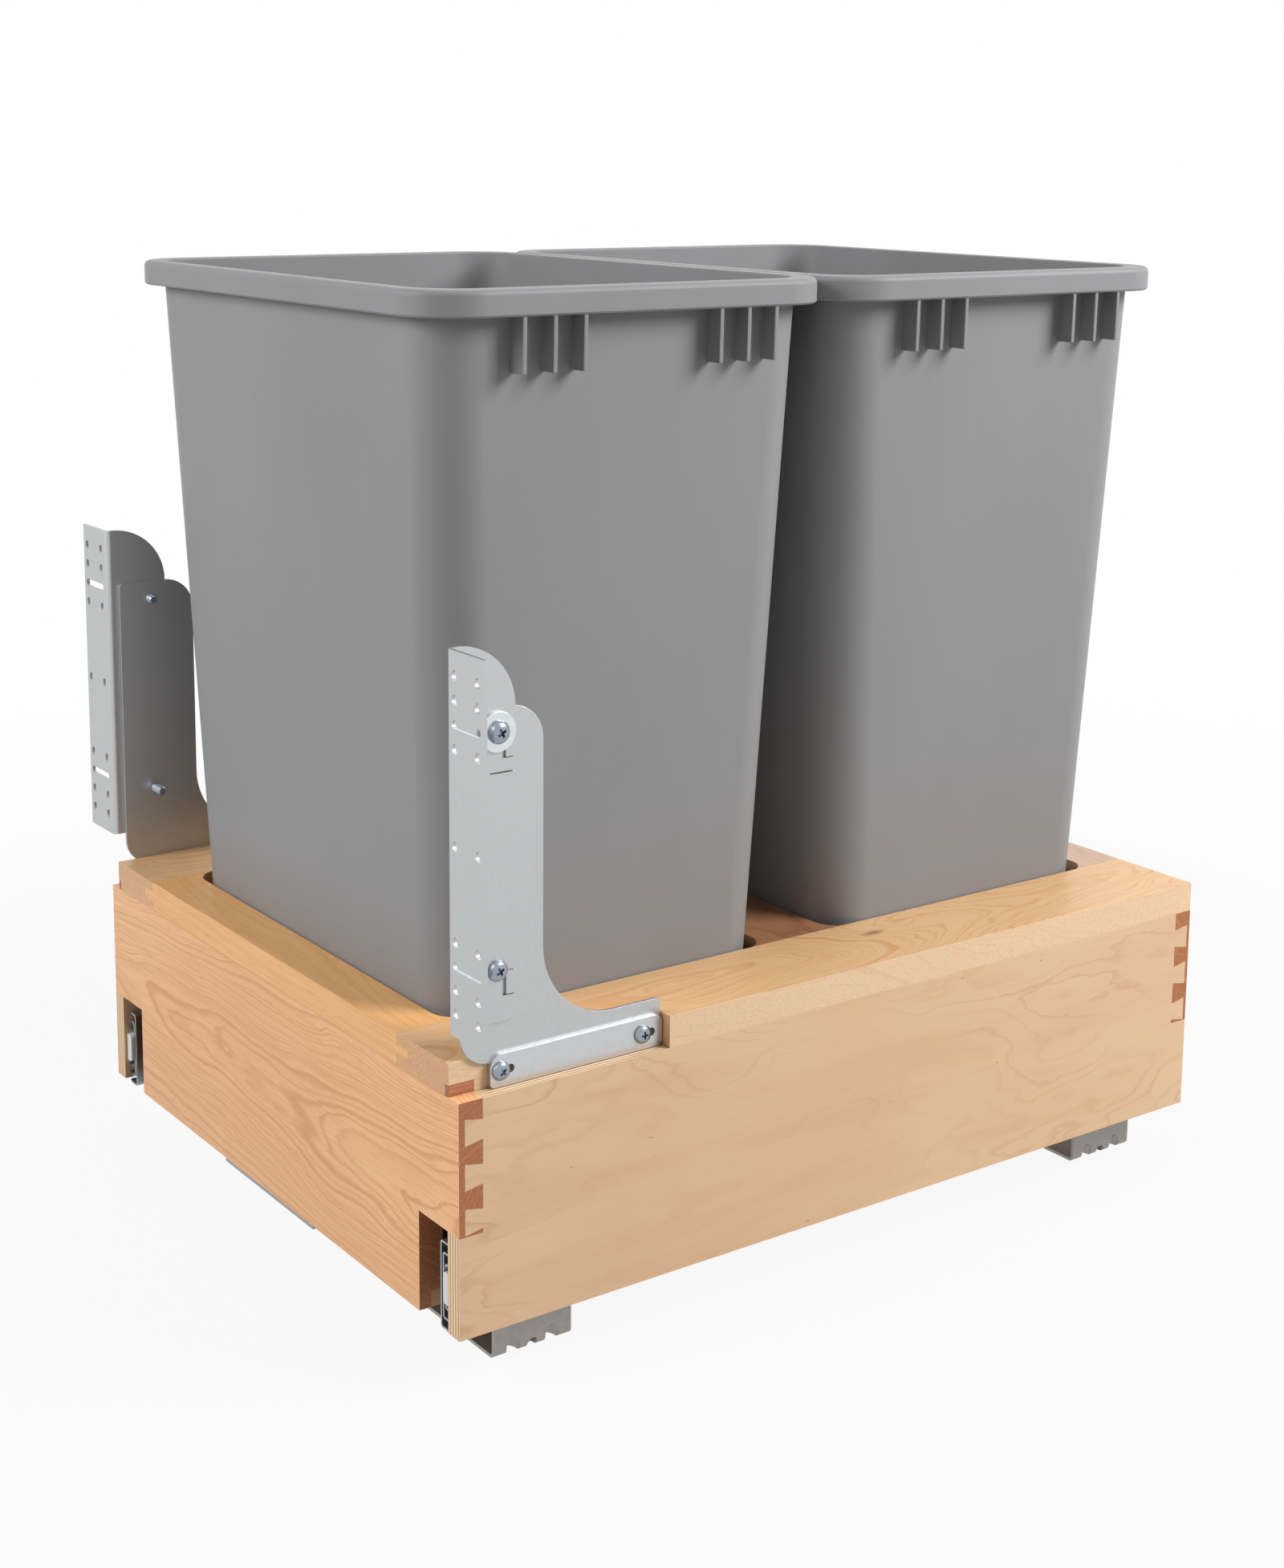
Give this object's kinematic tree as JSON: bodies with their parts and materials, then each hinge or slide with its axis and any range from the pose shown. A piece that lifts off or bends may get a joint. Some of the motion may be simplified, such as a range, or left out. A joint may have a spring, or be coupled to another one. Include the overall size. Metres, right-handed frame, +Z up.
{
  "type": "pull out bin frame",
  "caption": "Soft-cornered waste bins in a dovetailed wooden box on telescopic slides, with floor brackets and adjustable brackets for the cabinet door.",
  "frame": {"origin": "on the cabinet floor, under the middle of the whole part", "axes": "+Z up, the cabinet door is at -Y and the box pulls out towards -Y, +X to the right seen from the front"},
  "size_m": [0.5102, 0.5714, 0.5945],
  "materials": {
    "ball_steel": "polished",
    "bin_plastic": "moulded, matte",
    "bracket_steel": "fine zinc plate",
    "bright_zinc": "bright zinc plate",
    "cage_steel": "plain",
    "dark_maple": "satin lacquer",
    "floor_bracket_steel": "light grey zinc plate",
    "golden_maple": "satin lacquer",
    "maple_ply": "satin lacquer",
    "pink_birch": "satin lacquer",
    "plug_wood": "satin lacquer",
    "screw_zinc": "bluish zinc plate",
    "white_plastic": "moulded"
  },
  "bodies": {
    "floor_mount": {"front_floor_bracket": "floor_bracket_steel", "rear_floor_bracket": "floor_bracket_steel", "left_cabinet_rail": "bright_zinc", "right_cabinet_rail": "bright_zinc", "cabinet_rail_rivets": "bright_zinc"},
    "carriage": {"front_board": "pink_birch", "rear_board": "pink_birch", "left_side_panel": "maple_ply", "right_side_panel": "maple_ply", "bottom_panel": "maple_ply", "front_rail": "golden_maple", "centre_rail": "dark_maple", "rear_rail": "golden_maple", "left_side_rail": "golden_maple", "right_side_rail": "golden_maple", "corner_plugs": "plug_wood", "bottom_screws": "screw_zinc", "front_tie_plate": "bracket_steel", "tie_plate_screws": "screw_zinc", "left_drawer_rail": "bright_zinc", "right_drawer_rail": "bright_zinc", "rail_bumpers": "white_plastic", "drawer_rail_screws": "screw_zinc", "clamp_screws": "screw_zinc"},
    "front_bin": {"front_bin": "bin_plastic"},
    "rear_bin": {"rear_bin": "bin_plastic"},
    "left_middle_slide": {"left_middle_rail": "bright_zinc"},
    "left_outer_ball_cage": {"left_outer_cage": "cage_steel", "left_outer_balls": "ball_steel"},
    "left_inner_ball_cage": {"left_inner_cage": "cage_steel", "left_inner_balls": "ball_steel"},
    "left_arm": {"left_arm_plate": "bracket_steel", "left_clamp_plate": "bright_zinc", "left_pivot_screw": "screw_zinc", "left_pivot_washer": "screw_zinc", "left_tilt_screw": "screw_zinc"},
    "left_door_bracket": {"left_door_plate": "bracket_steel"},
    "right_middle_slide": {"right_middle_rail": "bright_zinc"},
    "right_outer_ball_cage": {"right_outer_cage": "cage_steel", "right_outer_balls": "ball_steel"},
    "right_inner_ball_cage": {"right_inner_cage": "cage_steel", "right_inner_balls": "ball_steel"},
    "right_arm": {"right_arm_plate": "bracket_steel", "right_clamp_plate": "bright_zinc", "right_pivot_screw": "screw_zinc", "right_pivot_washer": "screw_zinc", "right_tilt_screw": "screw_zinc"},
    "right_door_bracket": {"right_door_plate": "bracket_steel"}
  },
  "joints": [
    {"name": "carriage_slide", "type": "slide", "parent": "floor_mount", "child": "carriage", "axis": [0, -1, 0], "range_m": [0, 0.55]},
    {"name": "left_outer_ball_cage_travel", "type": "slide", "parent": "floor_mount", "child": "left_outer_ball_cage", "axis": [0, -1, 0], "range_m": [0, 0.1375]},
    {"name": "left_middle_slide_travel", "type": "slide", "parent": "floor_mount", "child": "left_middle_slide", "axis": [0, -1, 0], "range_m": [0, 0.275]},
    {"name": "left_inner_ball_cage_travel", "type": "slide", "parent": "floor_mount", "child": "left_inner_ball_cage", "axis": [0, -1, 0], "range_m": [0, 0.4125]},
    {"name": "left_reach_adjustment", "type": "slide", "parent": "carriage", "child": "left_arm", "axis": [0, -1, 0], "range_m": [0, 0.0064]},
    {"name": "left_tilt_adjustment", "type": "hinge", "parent": "left_arm", "child": "left_door_bracket", "pos_m": [-0.2203, -0.25605, 0.366], "axis": [1, 0, 0], "range_deg": [-0.8, 0.8]},
    {"name": "right_outer_ball_cage_travel", "type": "slide", "parent": "floor_mount", "child": "right_outer_ball_cage", "axis": [0, -1, 0], "range_m": [0, 0.1375]},
    {"name": "right_middle_slide_travel", "type": "slide", "parent": "floor_mount", "child": "right_middle_slide", "axis": [0, -1, 0], "range_m": [0, 0.275]},
    {"name": "right_inner_ball_cage_travel", "type": "slide", "parent": "floor_mount", "child": "right_inner_ball_cage", "axis": [0, -1, 0], "range_m": [0, 0.4125]},
    {"name": "right_reach_adjustment", "type": "slide", "parent": "carriage", "child": "right_arm", "axis": [0, -1, 0], "range_m": [0, 0.0064]},
    {"name": "right_tilt_adjustment", "type": "hinge", "parent": "right_arm", "child": "right_door_bracket", "pos_m": [0.2203, -0.25605, 0.366], "axis": [1, 0, 0], "range_deg": [-0.8, 0.8]},
    {"name": "front_bin_lift", "type": "slide", "parent": "carriage", "child": "front_bin", "axis": [0, 0, 1], "range_m": [0, 0.56]},
    {"name": "rear_bin_lift", "type": "slide", "parent": "carriage", "child": "rear_bin", "axis": [0, 0, 1], "range_m": [0, 0.56]}
  ],
  "couplings": [
    {"joint": "left_outer_ball_cage_travel", "follows": "carriage_slide", "ratio": 0.25},
    {"joint": "left_middle_slide_travel", "follows": "carriage_slide", "ratio": 0.5},
    {"joint": "left_inner_ball_cage_travel", "follows": "carriage_slide", "ratio": 0.75},
    {"joint": "right_outer_ball_cage_travel", "follows": "carriage_slide", "ratio": 0.25},
    {"joint": "right_middle_slide_travel", "follows": "carriage_slide", "ratio": 0.5},
    {"joint": "right_inner_ball_cage_travel", "follows": "carriage_slide", "ratio": 0.75}
  ]
}
